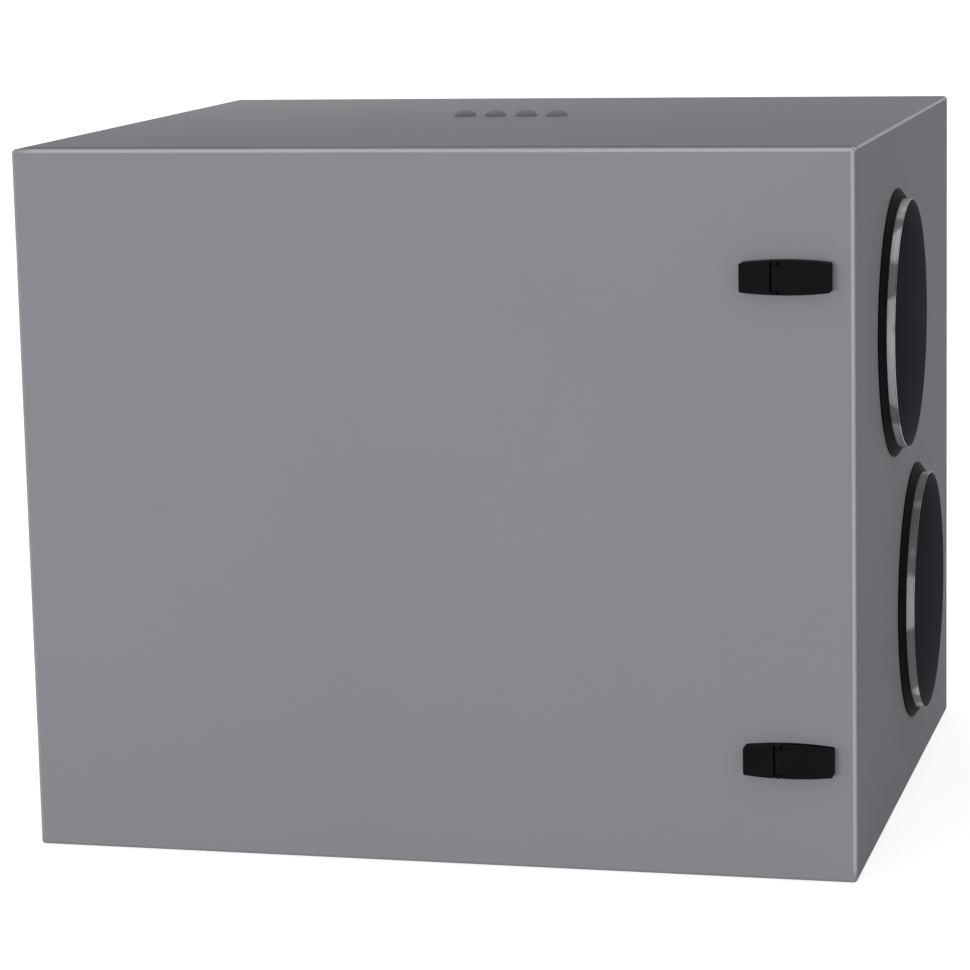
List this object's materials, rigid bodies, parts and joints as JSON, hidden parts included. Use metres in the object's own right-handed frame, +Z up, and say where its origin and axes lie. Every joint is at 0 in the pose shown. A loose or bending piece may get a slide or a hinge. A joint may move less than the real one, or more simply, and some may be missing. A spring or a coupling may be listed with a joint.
{
  "type": "air handling unit",
  "caption": "Insulated air handling unit cabinet with a hinged front door, swing latches, round duct collars at both ends, plate heat exchanger, filters and plug fans.",
  "frame": {"origin": "centre of the cabinet's underside, on the floor", "axes": "+Z up, +X along the width between the two ends with the duct collars, -Y the side with the door"},
  "size_m": [1.079, 0.918, 0.889],
  "materials": {
    "casing_paint": "satin powder coat",
    "door_paint": "satin powder coat",
    "galvanised_steel": "galvanised",
    "aluminium": "mill",
    "black_rubber": "matt",
    "grey_rubber": "matt",
    "black_plastic": "fine grain",
    "filter_cloth": "fibrous"
  },
  "bodies": {
    "cabinet": {"base_panel": "casing_paint", "top_panel": "casing_paint", "back_panel": "casing_paint", "left_side_panel": "casing_paint", "right_side_panel": "casing_paint", "door_gasket": "black_rubber", "duct_collar_left_upper": "galvanised_steel", "duct_collar_left_lower": "galvanised_steel", "duct_collar_right_upper": "galvanised_steel", "duct_collar_right_lower": "galvanised_steel", "collar_seal_left_upper": "black_rubber", "collar_seal_left_lower": "black_rubber", "collar_seal_right_upper": "black_rubber", "collar_seal_right_lower": "black_rubber", "cable_gland_1": "grey_rubber", "cable_gland_2": "grey_rubber", "cable_gland_3": "grey_rubber", "cable_gland_4": "grey_rubber", "exchanger_core": "aluminium", "exchanger_front_plate": "galvanised_steel", "exchanger_back_plate": "galvanised_steel", "divider_left": "galvanised_steel", "divider_right": "galvanised_steel", "divider_top": "galvanised_steel", "divider_bottom": "galvanised_steel", "drain_tray": "aluminium", "control_box": "galvanised_steel", "filter_frame_left": "galvanised_steel", "filter_frame_right": "galvanised_steel", "filter_media_left": "filter_cloth", "filter_media_right": "filter_cloth", "fan_plate_left": "galvanised_steel", "fan_plate_right": "galvanised_steel", "fan_impeller_left": "aluminium", "fan_impeller_right": "aluminium", "fan_shroud_left": "aluminium", "fan_shroud_right": "aluminium", "fan_motor_left": "black_plastic", "fan_motor_right": "black_plastic", "fan_stays_left": "galvanised_steel", "fan_stays_right": "galvanised_steel", "hinge_bracket_upper": "galvanised_steel", "hinge_bracket_lower": "galvanised_steel", "latch_keeper_upper": "galvanised_steel", "latch_keeper_lower": "galvanised_steel"},
    "door": {"door_panel": "door_paint", "latch_base_upper": "black_plastic", "latch_base_lower": "black_plastic"},
    "upper_lever": {"latch_lever_upper": "black_plastic"},
    "lower_lever": {"latch_lever_lower": "black_plastic"}
  },
  "joints": [
    {"name": "door_hinge", "type": "hinge", "parent": "cabinet", "child": "door", "pos_m": [-0.511, -0.441, 0.44], "axis": [0, 0, -1], "range_deg": [0, 105]},
    {"name": "upper_latch", "type": "hinge", "parent": "door", "child": "upper_lever", "pos_m": [0.428, -0.4635, 0.73], "axis": [0, 0, -1], "range_deg": [0, 90]},
    {"name": "lower_latch", "type": "hinge", "parent": "door", "child": "lower_lever", "pos_m": [0.428, -0.4635, 0.15], "axis": [0, 0, -1], "range_deg": [0, 90]}
  ]
}
